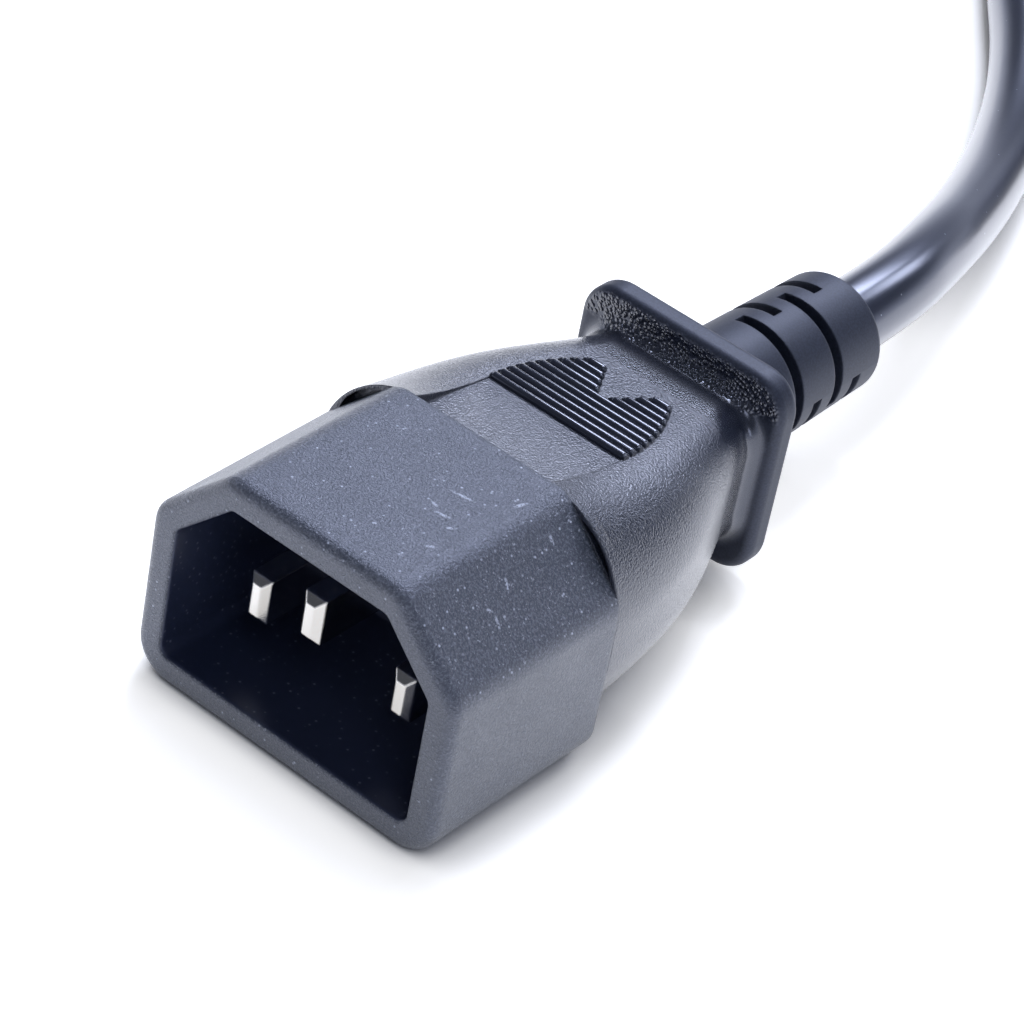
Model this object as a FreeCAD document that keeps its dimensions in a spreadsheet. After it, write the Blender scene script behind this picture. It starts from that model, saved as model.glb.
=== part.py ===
# Extension lead with a three-pin inlet plug at one end and a matching outlet socket at the other.
# Each end is a hard insert with its metal contacts, crimped wires and a soft overmoulded grip.
# Frame: +Y runs from the plug's open mouth to its cord, +X across the pins, +Z up, floor at Z = 0.
# The origin lies on the floor below the middle of the plug. Millimetres throughout.
import FreeCAD, Part
import math
import os

import Sketcher

Vector = FreeCAD.Vector
doc = FreeCAD.newDocument("extension_lead")

# Driving sizes
SIZES = {
    # Plug insert: the chamfered shroud, its cavity and the block that locks it in the overmould
    "shroud_width": 29.3,
    "shroud_height": 21.2,
    "shroud_length": 18.4,
    "shroud_chamfer": 6.5,
    "shroud_round": 2.5,
    "shroud_foot_round": 3.2,
    "rim_round": 1.0,
    "mouth_edge": 0.25,
    "cavity_width": 24.3,
    "cavity_height": 16.25,
    "cavity_chamfer": 4.8,
    "cavity_depth": 16.4,
    "cavity_round": 0.9,
    "anchor_width": 21.0,
    "anchor_height": 11.0,
    "anchor_length": 6.4,
    "anchor_lip": 1.0,
    "anchor_lip_length": 2.0,
    # Pins and wires, shared by both ends
    "pin_width": 2.0,
    "pin_height": 4.0,
    "pin_spacing": 14.0,
    "pin_rise": 4.0,
    "pin_offset": 0.3,
    "pin_bevel": 0.6,
    "pin_edge": 0.2,
    "live_tip_depth": 3.75,
    "earth_tip_depth": 1.1,
    "crimp_diameter": 3.2,
    "crimp_length": 6.0,
    "strand_diameter": 1.2,
    "core_diameter": 2.2,
    "core_lay": 1.35,
    "core_length": 12.0,
    # Plug grip: sections of the overmould, each set back from the shroud
    "front_round": 9.0,
    "shoulder_setback": 4.6,
    "shoulder_width": 28.9,
    "shoulder_height": 18.2,
    "shoulder_round": 7.6,
    "middle_setback": 9.6,
    "middle_width": 27.2,
    "middle_height": 16.4,
    "middle_round": 6.4,
    "taper_setback": 15.6,
    "taper_width": 23.3,
    "taper_height": 14.9,
    "taper_round": 5.2,
    "neck_setback": 20.4,
    "neck_width": 19.0,
    "neck_height": 13.7,
    "neck_round": 4.2,
    "root_width": 16.0,
    "root_height": 13.0,
    "root_round": 3.4,
    "grip_length": 24.7,
    "recess_length": 5.2,
    "recess_rise": 0.65,
    "recess_depth": 1.2,
    # Flange behind the grip
    "flange_width": 20.0,
    "flange_height": 18.4,
    "flange_thickness": 2.5,
    "flange_round": 3.2,
    "flange_edge": 0.8,
    "flange_fillet": 1.3,
    # Sloping label panel, and the ribbed grip field on the deck behind it
    "panel_width": 13.0,
    "panel_depth": 1.1,
    "panel_slope": 8.3,
    "rib_start": 9.44,
    "rib_pitch": 0.978,
    "rib_width": 0.62,
    "rib_height": 0.36,
    "rib_bevel": 0.15,
    "rib_count": 10,
    "rib_seat": 0.6,
    "rib_sink": 0.15,
    "rib_field_front": 13.2,
    "rib_field_back": 8.0,
    "rib_field_bend": 16.9,
    "notch_front": 0.7,
    "notch_back": 5.84,
    "notch_rib": 6,
    # Strain relief, shared by both ends
    "relief_length": 19.6,
    "relief_root": 11.4,
    "relief_end": 10.5,
    "relief_edge": 0.5,
    "slot_width": 1.15,
    "slot_pitch": 2.75,
    "slot_start": 7.9,
    "slot_sweep": 128.0,
    "cross_slot_sweep": 90.0,
    "slot_floor": 7.8,
    # Cord, its put-away hank and the tie
    "cord_diameter": 6.6,
    "lead_straight": 13.8,
    "lead_entry": 14.4,
    "tail_leave": 11.3,
    "tail_straight": 11.0,
    "cord_clearance": 0.2,
    "entry_clearance": 2.0,
    "hank_centre": -13.4,
    "hank_distance": 112.8,
    "hank_run": 117.0,
    "hank_fold": 20.0,
    "hank_edge": 2.4,
    "tie_width": 8.0,
    "tie_thickness": 0.6,
    # Socket insert, contacts and grip
    "nose_width": 23.8,
    "nose_height": 15.75,
    "nose_chamfer": 4.6,
    "nose_length": 16.8,
    "nose_round": 0.8,
    "nose_wall": 1.6,
    "slot_clearance": 0.3,
    "contact_sheet": 0.5,
    "contact_length": 12.0,
    "contact_seam": 0.4,
    "socket_advance": 10.0,
    "socket_shoulder_width": 27.4,
    "socket_shoulder_height": 19.6,
    "socket_shoulder_round": 4.6,
    "socket_collar": 4.0,
    "socket_grip_width": 25.8,
    "socket_grip_height": 18.0,
    "socket_grip_round": 5.6,
    "socket_middle_setback": 9.0,
    "socket_middle_width": 23.6,
    "socket_middle_height": 16.8,
    "socket_middle_round": 6.2,
    "socket_root_width": 15.0,
    "socket_root_height": 13.4,
    "socket_root_round": 5.4,
    "socket_grip_length": 25.4,
    "socket_edge": 0.6,
}

sheet = doc.addObject("Spreadsheet::Sheet", "size")
for row, (alias, number) in enumerate(SIZES.items(), start=1):
    sheet.set(f"A{row}", alias)
    sheet.set(f"B{row}", str(number))
    sheet.setAlias(f"B{row}", alias)
doc.recompute()


def value(name):
    """Reads one size from the sheet."""
    return float(sheet.get(name))


# Places worked out from the sizes, as expressions over the sheet
PLUG_LENGTH = "(size.shroud_length + size.grip_length + size.flange_thickness + size.relief_length)"
PLUG_AXIS = "(size.shroud_height / 2)"
EXIT_Y = f"({PLUG_LENGTH} / 2)"
MOUTH_Y = f"(-{PLUG_LENGTH} / 2)"
HANK_START = f"({EXIT_Y} + size.hank_distance)"
SOCKET_AXIS = "(size.socket_shoulder_height / 2)"
SOCKET_FRONT = f"({HANK_START} - size.socket_advance)"
SOCKET_LENGTH = "(size.nose_length + size.socket_grip_length + size.relief_length)"
FLANGE_FRONT = "(size.shroud_length + size.grip_length)"
DECK_FALL = "((size.middle_height - size.neck_height) / 2 / (size.neck_setback - size.middle_setback))"
DECK_TOP = f"({PLUG_AXIS} + size.middle_height / 2 + size.middle_setback * {DECK_FALL})"
CONTACT_WIDTH = "(size.pin_width + 2 * size.slot_clearance + 2 * size.contact_sheet)"
CONTACT_HEIGHT = "(size.pin_height + 2 * size.slot_clearance + 2 * size.contact_sheet)"
PLUG_AT = ("0", MOUTH_Y)
SOCKET_AT = ("size.hank_centre", SOCKET_FRONT)

# The three poles: side of the middle, and whether it is the raised earth
POLES = {"line": (-1, False), "neutral": (1, False), "earth": (0, True)}


def number_of(expression):
    """Works out an expression over the sheet as a plain number."""
    result = sheet.evalExpression(expression)
    return float(getattr(result, "Value", result))


def pole_x(side):
    """Distance of a pole from the middle of its end."""
    return f"({side} * size.pin_spacing / 2)"


def pole_rise(earth):
    """Height of a pole above the axis of its end."""
    return f"(size.pin_offset {'+' if earth else '-'} size.pin_rise / 2)"


def new_body(label, at):
    """Starts a body whose own origin is at the front of one end of the lead."""
    body = doc.addObject("PartDesign::Body", label)
    body.Label = label
    body.setExpression("Placement.Base.x", at[0])
    body.setExpression("Placement.Base.y", at[1])
    return body


def origin_plane(body, role):
    """Finds one of a body's own origin planes."""
    return next(item for item in body.Origin.OriginFeatures if item.Role == role)


def upright_sketch(body, name, depth, height):
    """Adds a sketch square to the cord axis, at a depth behind the front and a height above the floor."""
    sketch = body.newObject("Sketcher::SketchObject", name)
    sketch.AttachmentSupport = [(origin_plane(body, "XZ_Plane"), "")]
    sketch.MapMode = "FlatFace"
    sketch.setExpression("AttachmentOffset.Base.y", height)
    sketch.setExpression("AttachmentOffset.Base.z", f"-({depth})")
    return sketch


def bind(sketch, kind, places, expression):
    """Adds a sketch dimension and ties it to the sheet."""
    index = sketch.addConstraint(Sketcher.Constraint(kind, *places, number_of(expression)))
    sketch.setExpression(f"Constraints[{index}]", expression)


def hold_point(sketch, geometry, point, across, along):
    """Holds a point of a sketch by two distances from the sketch's origin."""
    bind(sketch, "DistanceX", (-1, 1, geometry, point), across)
    bind(sketch, "DistanceY", (-1, 1, geometry, point), along)


def draw_polygon(sketch, corners):
    """Draws a closed outline of straight edges through corners given as pairs of expressions."""
    points = [Vector(number_of(across), number_of(along), 0) for across, along in corners]
    first = sketch.GeometryCount
    count = len(points)
    for index, point in enumerate(points):
        sketch.addGeometry(Part.LineSegment(point, points[(index + 1) % count]), False)
    for index in range(count):
        sketch.addConstraint(
            Sketcher.Constraint("Coincident", first + index, 2, first + (index + 1) % count, 1)
        )
    for index, (across, along) in enumerate(corners):
        hold_point(sketch, first + index, 1, across, along)


def draw_rectangle(sketch, width, height, across="0", along="0"):
    """Draws a rectangle about a point."""
    left, right = (f"({across} {sign} {width} / 2)" for sign in "-+")
    low, high = (f"({along} {sign} {height} / 2)" for sign in "-+")
    draw_polygon(sketch, [(left, low), (right, low), (right, high), (left, high)])


def draw_chamfered(sketch, width, height, chamfer):
    """Draws the outline shared by both inserts: a rectangle with its two upper corners cut off."""
    side, top, cut = f"({width} / 2)", f"({height} / 2)", chamfer
    draw_polygon(sketch, [
        (f"-{side}", f"-{top}"),
        (side, f"-{top}"),
        (side, f"({top} - {cut})"),
        (f"({side} - {cut})", top),
        (f"-({side} - {cut})", top),
        (f"-{side}", f"({top} - {cut})"),
    ])


def draw_rounded(sketch, width, height, radius):
    """Draws a rectangle with round corners about the sketch's origin."""
    across, along = f"({width} / 2 - {radius})", f"({height} / 2 - {radius})"
    half_x, half_y, bend = number_of(across), number_of(along), number_of(radius)
    corners = [(1, -1), (1, 1), (-1, 1), (-1, -1)]
    middles = [Vector(half_x * sx, half_y * sy, 0) for sx, sy in corners]
    starts = [Vector(0, -bend, 0), Vector(bend, 0, 0), Vector(0, bend, 0), Vector(-bend, 0, 0)]
    first = sketch.GeometryCount
    for index, middle in enumerate(middles):
        turn = math.radians(90 * index - 90)
        circle = Part.Circle(middle, Vector(0, 0, 1), bend)
        sketch.addGeometry(Part.ArcOfCircle(circle, turn, turn + math.pi / 2), False)
    for index, middle in enumerate(middles):
        following = (index + 1) % 4
        leave = middle + starts[following]
        arrive = middles[following] + starts[following]
        sketch.addGeometry(Part.LineSegment(leave, arrive), False)
    for index, (sx, sy) in enumerate(corners):
        following = (index + 1) % 4
        sketch.addConstraint(Sketcher.Constraint("Tangent", first + index, 2, first + 4 + index, 1))
        sketch.addConstraint(Sketcher.Constraint("Tangent", first + 4 + index, 2, first + following, 1))
        hold_point(sketch, first + index, 3, f"({sx} * {across})", f"({sy} * {along})")
        bind(sketch, "Radius", (first + index,), radius)


def draw_circle(sketch, diameter, across="0", along="0"):
    """Draws a circle about a point."""
    middle = Vector(number_of(across), number_of(along), 0)
    index = sketch.addGeometry(Part.Circle(middle, Vector(0, 0, 1), number_of(diameter) / 2), False)
    hold_point(sketch, index, 3, across, along)
    bind(sketch, "Diameter", (index,), diameter)


def add_pad(body, name, sketch, length):
    """Pads an upright sketch towards the cord."""
    pad = body.newObject("PartDesign::Pad", name)
    pad.Profile = sketch
    pad.setExpression("Length", length)
    pad.Reversed = True
    doc.recompute()
    return pad


def add_pocket(body, name, sketch, length):
    """Cuts an upright sketch towards the cord."""
    pocket = body.newObject("PartDesign::Pocket", name)
    pocket.Profile = sketch
    pocket.setExpression("Length", length)
    doc.recompute()
    return pocket


def round_edges(body, name, radius, chosen):
    """Rounds the edges of a body that a test picks out."""
    base = body.Tip
    names = [f"Edge{index}" for index, edge in enumerate(base.Shape.Edges, start=1) if chosen(edge)]
    fillet = body.newObject("PartDesign::Fillet", name)
    fillet.Base = (base, names)
    fillet.setExpression("Radius", radius)
    doc.recompute()
    return fillet


def lies_along(edge):
    """True for a straight edge that runs from front to back."""
    ends = [vertex.Point for vertex in edge.Vertexes]
    return len(ends) == 2 and abs(ends[1].y - ends[0].y) > 0.99 * edge.Length


def at_depth(edge, depth):
    """True for an edge that lies wholly at one depth behind the front."""
    box = edge.BoundBox
    return abs(box.YMin - depth) < 1e-4 and abs(box.YMax - depth) < 1e-4


def plug_shroud():
    """The plug's hard insert: an open shroud, a floor that holds the pins, and a locking block behind."""
    body = new_body("plug_shroud", PLUG_AT)
    outline = upright_sketch(body, "shroud_outline", "0", PLUG_AXIS)
    draw_chamfered(outline, "size.shroud_width", "size.shroud_height", "size.shroud_chamfer")
    add_pad(body, "shroud_block", outline, "size.shroud_length")
    middle = number_of(PLUG_AXIS)
    round_edges(body, "shroud_corners", "size.shroud_round",
                lambda edge: lies_along(edge) and edge.CenterOfMass.z > middle)
    round_edges(body, "shroud_feet", "size.shroud_foot_round",
                lambda edge: lies_along(edge) and edge.CenterOfMass.z < 1e-4)
    round_edges(body, "rim", "size.rim_round", lambda edge: at_depth(edge, 0))
    mouth = upright_sketch(body, "mouth", "0", PLUG_AXIS)
    draw_chamfered(mouth, "size.cavity_width", "size.cavity_height", "size.cavity_chamfer")
    add_pocket(body, "cavity", mouth, "size.cavity_depth")
    inner = value("cavity_width") / 2 + 1e-3
    tall = value("cavity_height") / 2 + 1e-3
    round_edges(body, "cavity_corners", "size.cavity_round",
                lambda edge: lies_along(edge) and abs(edge.CenterOfMass.x) < inner
                and abs(edge.CenterOfMass.z - middle) < tall)
    cut = inner + tall - value("cavity_chamfer")

    def at_mouth(edge):
        across, rise = abs(edge.CenterOfMass.x), edge.CenterOfMass.z - middle
        return at_depth(edge, 0) and across < inner and abs(rise) < tall and across + rise < cut

    round_edges(body, "mouth_edges", "size.mouth_edge", at_mouth)
    block = upright_sketch(body, "anchor", "size.shroud_length", PLUG_AXIS)
    draw_rectangle(block, "size.anchor_width", "size.anchor_height")
    add_pad(body, "anchor_block", block, "size.anchor_length")
    lip_depth = "(size.shroud_length + size.anchor_length - size.anchor_lip_length)"
    lip = upright_sketch(body, "lip", lip_depth, PLUG_AXIS)
    draw_rectangle(lip, "(size.anchor_width + 2 * size.anchor_lip)",
                   "(size.anchor_height + 2 * size.anchor_lip)")
    add_pad(body, "anchor_lip_ring", lip, "size.anchor_lip_length")
    holes = upright_sketch(body, "pin_holes", "size.cavity_depth", PLUG_AXIS)
    for side, earth in POLES.values():
        draw_rectangle(holes, "size.pin_width", "size.pin_height", pole_x(side), pole_rise(earth))
    add_pocket(body, "pin_seats", holes, "(size.shroud_length + size.anchor_length)")
    return body


def crimp_barrel(body, depth, height, side, earth):
    """Adds the crimped tail of a pin or contact, with its bore for the wire."""
    barrel = upright_sketch(body, "barrel", depth, height)
    draw_circle(barrel, "size.crimp_diameter", pole_x(side), pole_rise(earth))
    add_pad(body, "crimp", barrel, "size.crimp_length")
    bore = upright_sketch(body, "bore", depth, height)
    draw_circle(bore, "size.strand_diameter", pole_x(side), pole_rise(earth))
    add_pocket(body, "crimp_bore", bore, "size.crimp_length")


def plug_pin(pole):
    """A flat pin with a bevelled tip, and its crimp behind the insert."""
    side, earth = POLES[pole]
    body = new_body(f"plug_{pole}_pin", PLUG_AT)
    tip = "size.earth_tip_depth" if earth else "size.live_tip_depth"
    rear = "(size.shroud_length + size.anchor_length)"
    blade = upright_sketch(body, "blade", tip, PLUG_AXIS)
    draw_rectangle(blade, "size.pin_width", "size.pin_height", pole_x(side), pole_rise(earth))
    add_pad(body, "blade_bar", blade, f"({rear} - {tip})")
    front = number_of(tip)
    bar = body.Tip
    names = [f"Edge{index}" for index, edge in enumerate(bar.Shape.Edges, start=1) if at_depth(edge, front)]
    bevel = body.newObject("PartDesign::Chamfer", "tip_bevel")
    bevel.Base = (bar, names)
    bevel.setExpression("Size", "size.pin_bevel")
    doc.recompute()
    behind = front + value("pin_bevel") + 1e-4
    round_edges(body, "tip_edges", "size.pin_edge", lambda edge: edge.BoundBox.YMax < behind)
    crimp_barrel(body, rear, PLUG_AXIS, side, earth)
    return body


def add_loft(body, name, sections):
    """Lofts a grip through sections given as depth, height of the axis, width, height and corner radius."""
    sketches = []
    for index, (depth, axis, width, height, radius) in enumerate(sections):
        sketch = upright_sketch(body, f"{name}_section_{index}", depth, axis)
        draw_rounded(sketch, width, height, radius)
        sketches.append(sketch)
    loft = body.newObject("PartDesign::AdditiveLoft", name)
    loft.Profile = sketches[0]
    loft.Sections = sketches[1:]
    doc.recompute()
    return loft


def axis_sketch(body, name, axis, turn):
    """Adds a sketch through the cord axis, turned about it: its own x points outwards, its y to the cord."""
    sketch = body.newObject("Sketcher::SketchObject", name)
    sketch.AttachmentSupport = [(origin_plane(body, "XY_Plane"), "")]
    sketch.MapMode = "FlatFace"
    sketch.AttachmentOffset = FreeCAD.Placement(Vector(), FreeCAD.Rotation(Vector(0, 1, 0), -turn))
    sketch.setExpression("AttachmentOffset.Base.z", axis)
    return sketch


def add_strain_relief(body, start, axis):
    """Adds the tapered sleeve behind a grip, with rings of staggered slots that let it flex."""
    end = f"({start} + size.relief_length)"
    profile = axis_sketch(body, "relief_profile", axis, 0)
    draw_polygon(profile, [
        ("(size.cord_diameter / 2)", start),
        ("(size.relief_root / 2)", start),
        ("(size.relief_end / 2)", end),
        ("(size.cord_diameter / 2)", end),
    ])
    sleeve = body.newObject("PartDesign::Revolution", "relief")
    sleeve.Profile = profile
    sleeve.ReferenceAxis = (profile, ["V_Axis"])
    sleeve.Angle = 360
    doc.recompute()
    last = number_of(end)
    outside = value("relief_end") / 2 - 1e-3
    round_edges(body, "relief_end_edge", "size.relief_edge",
                lambda edge: at_depth(edge, last) and edge.BoundBox.XMax > outside)
    for ring, (turn, sweep) in enumerate(((45, "size.slot_sweep"), (135, "size.cross_slot_sweep"))):
        middle = f"({start} + size.slot_start + {ring} * size.slot_pitch)"
        window = axis_sketch(body, f"slot_{ring}", axis, turn)
        draw_polygon(window, [
            ("(size.slot_floor / 2)", f"({middle} - size.slot_width / 2)"),
            ("size.relief_root", f"({middle} - size.slot_width / 2)"),
            ("size.relief_root", f"({middle} + size.slot_width / 2)"),
            ("(size.slot_floor / 2)", f"({middle} + size.slot_width / 2)"),
        ])
        groove = body.newObject("PartDesign::Groove", f"slot_cut_{ring}")
        groove.Profile = window
        groove.ReferenceAxis = (window, ["V_Axis"])
        groove.Midplane = True
        groove.setExpression("Angle", sweep)
        doc.recompute()
        repeat = body.newObject("PartDesign::MultiTransform", f"slots_{ring}")
        repeat.Originals = [groove]
        opposite = body.newObject("PartDesign::PolarPattern", f"slot_pair_{ring}")
        opposite.Axis = (window, ["V_Axis"])
        opposite.Angle = 360
        opposite.Occurrences = 2
        along = body.newObject("PartDesign::LinearPattern", f"slot_row_{ring}")
        along.Direction = (window, ["V_Axis"])
        along.setExpression("Length", "2 * size.slot_pitch")
        along.Occurrences = 2
        repeat.Transformations = [opposite, along]
        body.Tip = repeat
        doc.recompute()


def sloping_sketch(body, name, slope, height):
    """Adds a sketch on a plane that falls towards the cord; its own y runs back from the shroud along it."""
    sketch = body.newObject("Sketcher::SketchObject", name)
    sketch.AttachmentSupport = [(origin_plane(body, "XY_Plane"), "")]
    sketch.MapMode = "FlatFace"
    sketch.AttachmentOffset = FreeCAD.Placement(Vector(), FreeCAD.Rotation(Vector(1, 0, 0), -slope))
    sketch.setExpression("AttachmentOffset.Base.y", "size.shroud_length")
    sketch.setExpression("AttachmentOffset.Base.z", height)
    return sketch


def draw_rib_field(sketch):
    """Draws the field of the ribs: straight in front and behind, with bowed sides that close in."""
    front = "(size.rib_start - size.rib_width / 2)"
    back = "(size.rib_start + (size.rib_count - 1) * size.rib_pitch + size.rib_width / 2)"
    wide, narrow = "(size.rib_field_front / 2)", "(size.rib_field_back / 2)"
    corners = [(f"-{wide}", front), (wide, front), (narrow, back), (f"-{narrow}", back)]
    points = [Vector(number_of(across), number_of(along), 0) for across, along in corners]
    bend = value("rib_field_bend")
    for index, start in enumerate(points):
        end = points[(index + 1) % 4]
        chord = end - start
        if index in (0, 2):
            sketch.addGeometry(Part.LineSegment(start, end), False)
            continue
        bow = bend - math.sqrt(bend ** 2 - chord.Length ** 2 / 4)
        outwards = Vector(chord.y, -chord.x, 0).normalize()
        sketch.addGeometry(Part.Arc(start, (start + end) * 0.5 + outwards * bow, end), False)
    for index in range(4):
        sketch.addConstraint(Sketcher.Constraint("Coincident", index, 2, (index + 1) % 4, 1))
    for index, (across, along) in enumerate(corners):
        hold_point(sketch, index, 1, across, along)
    for index in (1, 3):
        bind(sketch, "Radius", (index,), "size.rib_field_bend")


def plug_ribs():
    """The ribbed grip field, a comb of bevelled bars on a seat that is sunk in the overmould's deck."""
    body = doc.addObject("PartDesign::Body", "rib_field")
    body.setExpression("Placement.Base.y", MOUTH_Y)
    slope = math.degrees(math.atan(number_of(DECK_FALL)))
    field = sloping_sketch(body, "field", slope, DECK_TOP)
    draw_rib_field(field)
    bars = body.newObject("PartDesign::Pad", "field_block")
    bars.Profile = field
    bars.SideType = "Two sides"
    bars.setExpression("Length", "size.rib_height")
    bars.setExpression("Length2", "size.rib_seat")
    doc.recompute()
    below = f"{DECK_TOP} - size.rib_sink"
    gap = sloping_sketch(body, "gap", slope, below)
    draw_rectangle(gap, "(2 * size.rib_field_front)", "(size.rib_pitch - size.rib_width)", "0",
                   "(size.rib_start + size.rib_pitch / 2)")
    cut_upwards(body, "groove", gap)
    rows = body.newObject("PartDesign::LinearPattern", "grooves")
    rows.Originals = [body.Tip]
    rows.Direction = (gap, ["V_Axis"])
    rows.setExpression("Length", "(size.rib_count - 2) * size.rib_pitch")
    rows.setExpression("Occurrences", "size.rib_count - 1")
    body.Tip = rows
    doc.recompute()
    notch = sloping_sketch(body, "notch", slope, below)
    near = "(size.rib_start + (size.notch_rib - 0.5) * size.rib_pitch)"
    far = "(size.rib_start + size.rib_count * size.rib_pitch)"
    slim, broad = "(size.notch_front / 2)", "(size.notch_back / 2)"
    draw_polygon(notch, [(f"-{slim}", near), (slim, near), (broad, far), (f"-{broad}", far)])
    cut_upwards(body, "bare_notch", notch)
    fall, top = number_of(DECK_FALL), number_of(DECK_TOP)
    crest = value("rib_height") * math.hypot(1, fall)

    def on_crest(edge):
        heights = [point.z - top + fall * (point.y - value("shroud_length")) for point in edge.discretize(3)]
        return all(abs(height - crest) < 1e-3 for height in heights)

    comb = body.Tip
    names = [f"Edge{index}" for index, edge in enumerate(comb.Shape.Edges, start=1) if on_crest(edge)]
    bevel = body.newObject("PartDesign::Chamfer", "rib_tops")
    bevel.Base = (comb, names)
    bevel.setExpression("Size", "size.rib_bevel")
    doc.recompute()
    return body


def cut_upwards(body, name, sketch):
    """Cuts a sketch of the ribbed field out of everything above it."""
    pocket = body.newObject("PartDesign::Pocket", name)
    pocket.Profile = sketch
    pocket.Reversed = True
    pocket.setExpression("Length", "2 * size.rib_height")
    doc.recompute()


def draw_recess(sketch, side):
    """Draws the crescent between the shroud's cut corner and the overmould's round corner, on one side."""
    across = f"({side} * (size.shroud_width - size.shroud_chamfer) / 2)"
    along = "((size.shroud_height - size.shroud_chamfer) / 2)"
    spread = "(size.recess_length / 2 / sqrt(2))"
    radius = "((size.recess_length ^ 2 / 4 + size.recess_rise ^ 2) / (2 * size.recess_rise))"
    low = (f"({across} + {side} * {spread})", f"({along} - {spread})")
    high = (f"({across} - {side} * {spread})", f"({along} + {spread})")
    ends = [low, high] if side > 0 else [high, low]
    start, end = (Vector(number_of(x), number_of(y), 0) for x, y in ends)
    rise = value("recess_rise") / math.sqrt(2)
    top = Vector(number_of(across) + side * rise, number_of(along) + rise, 0)
    bow = sketch.addGeometry(Part.Arc(start, top, end), False)
    chord = sketch.addGeometry(Part.LineSegment(end, start), False)
    sketch.addConstraint(Sketcher.Constraint("Coincident", bow, 2, chord, 1))
    sketch.addConstraint(Sketcher.Constraint("Coincident", chord, 2, bow, 1))
    for point, place in zip((2, 1), ends):
        hold_point(sketch, chord, point, *place)
    bind(sketch, "Radius", (bow,), radius)


def plug_grip():
    """The outside of the plug's overmould: lofted grip, flange, strain relief and sloping label panel."""
    body = doc.addObject("PartDesign::Body", "plug_grip")
    body.setExpression("Placement.Base.y", MOUTH_Y)
    sections = [("size.shroud_length", PLUG_AXIS, "size.shroud_width", "size.shroud_height",
                 "size.front_round")]
    for name in ("shoulder", "middle", "taper", "neck"):
        sections.append((f"(size.shroud_length + size.{name}_setback)", PLUG_AXIS, f"size.{name}_width",
                         f"size.{name}_height", f"size.{name}_round"))
    sections.append((FLANGE_FRONT, PLUG_AXIS, "size.root_width", "size.root_height", "size.root_round"))
    add_loft(body, "grip", sections)
    plate = upright_sketch(body, "plate", FLANGE_FRONT, PLUG_AXIS)
    draw_rounded(plate, "size.flange_width", "size.flange_height", "size.flange_round")
    add_pad(body, "flange", plate, "size.flange_thickness")
    front = number_of(FLANGE_FRONT)
    rear = front + value("flange_thickness")
    edge_of_plate = value("root_width") / 2 + 0.2
    tall = value("root_height") / 2 + 0.2
    axis = number_of(PLUG_AXIS)

    def on_rim(edge):
        middle = edge.CenterOfMass
        outside = abs(middle.x) > edge_of_plate or abs(middle.z - axis) > tall
        return outside and (at_depth(edge, front) or at_depth(edge, rear))

    def at_root(edge):
        middle = edge.CenterOfMass
        outside = abs(middle.x) > edge_of_plate or abs(middle.z - axis) > tall
        return at_depth(edge, front) and not outside

    round_edges(body, "flange_edges", "size.flange_edge", on_rim)
    round_edges(body, "flange_root", "size.flange_fillet", at_root)
    label = sloping_sketch(body, "label_panel", value("panel_slope"), "size.shroud_height - size.panel_depth")
    draw_rectangle(label, "size.panel_width", "(2 * size.rib_start)")
    panel = body.newObject("PartDesign::Pocket", "panel")
    panel.Profile = label
    panel.Reversed = True
    panel.setExpression("Length", "size.shroud_height")
    doc.recompute()
    corners = upright_sketch(body, "corners", "size.shroud_length", PLUG_AXIS)
    for side in (-1, 1):
        draw_recess(corners, side)
    add_pocket(body, "corner_recesses", corners, "size.recess_depth")
    add_strain_relief(body, f"({FLANGE_FRONT} + size.flange_thickness)", PLUG_AXIS)
    return body


def rounded_wire(points, radii=None):
    """Joins points by straight runs and tangent arcs, each arc as large as its two runs allow."""
    reach = 0.45
    edges = []
    start = points[0]
    for before, corner, after in zip(points, points[1:], points[2:]):
        into, out = corner - before, after - corner
        turn = into.getAngle(out)
        cut = reach * min(into.Length, out.Length)
        radius = cut / math.tan(turn / 2)
        into.normalize()
        out.normalize()
        leave, arrive = corner - into * cut, corner + out * cut
        inward = (out - into).normalize()
        middle = corner + inward * (radius / math.cos(turn / 2) - radius)
        edges.append(Part.LineSegment(start, leave).toShape())
        edges.append(Part.Arc(leave, middle, arrive).toShape())
        start = arrive
        if radii is not None:
            radii.append(radius)
    edges.append(Part.LineSegment(start, points[-1]).toShape())
    return Part.Wire(edges)


def add_tube(label, points, diameter, radii=None):
    """Sweeps a round section along a route and compares its volume with section times length."""
    path = rounded_wire(points, radii)
    circle = Part.Circle(points[0], points[1] - points[0], diameter / 2)
    shape = path.makePipeShell([Part.Wire(circle.toShape())], True, False)
    wanted = math.pi * diameter ** 2 / 4 * path.Length
    if abs(shape.Volume - wanted) > 0.005 * wanted:
        raise RuntimeError(f"{label} has the wrong volume")
    tube = doc.addObject("Part::Feature", label)
    tube.Label = label
    tube.Shape = shape
    return tube


def add_rod(label, diameter, length, x, y, z):
    """Adds a round rod that runs from front to back."""
    rod = doc.addObject("Part::Cylinder", label)
    rod.Label = label
    rod.Placement = FreeCAD.Placement(Vector(), FreeCAD.Rotation(Vector(1, 0, 0), -90))
    rod.setExpression("Radius", f"{diameter} / 2")
    rod.setExpression("Height", length)
    for axis, expression in zip("xyz", (x, y, z)):
        rod.setExpression(f"Placement.Base.{axis}", expression)
    return rod


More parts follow.
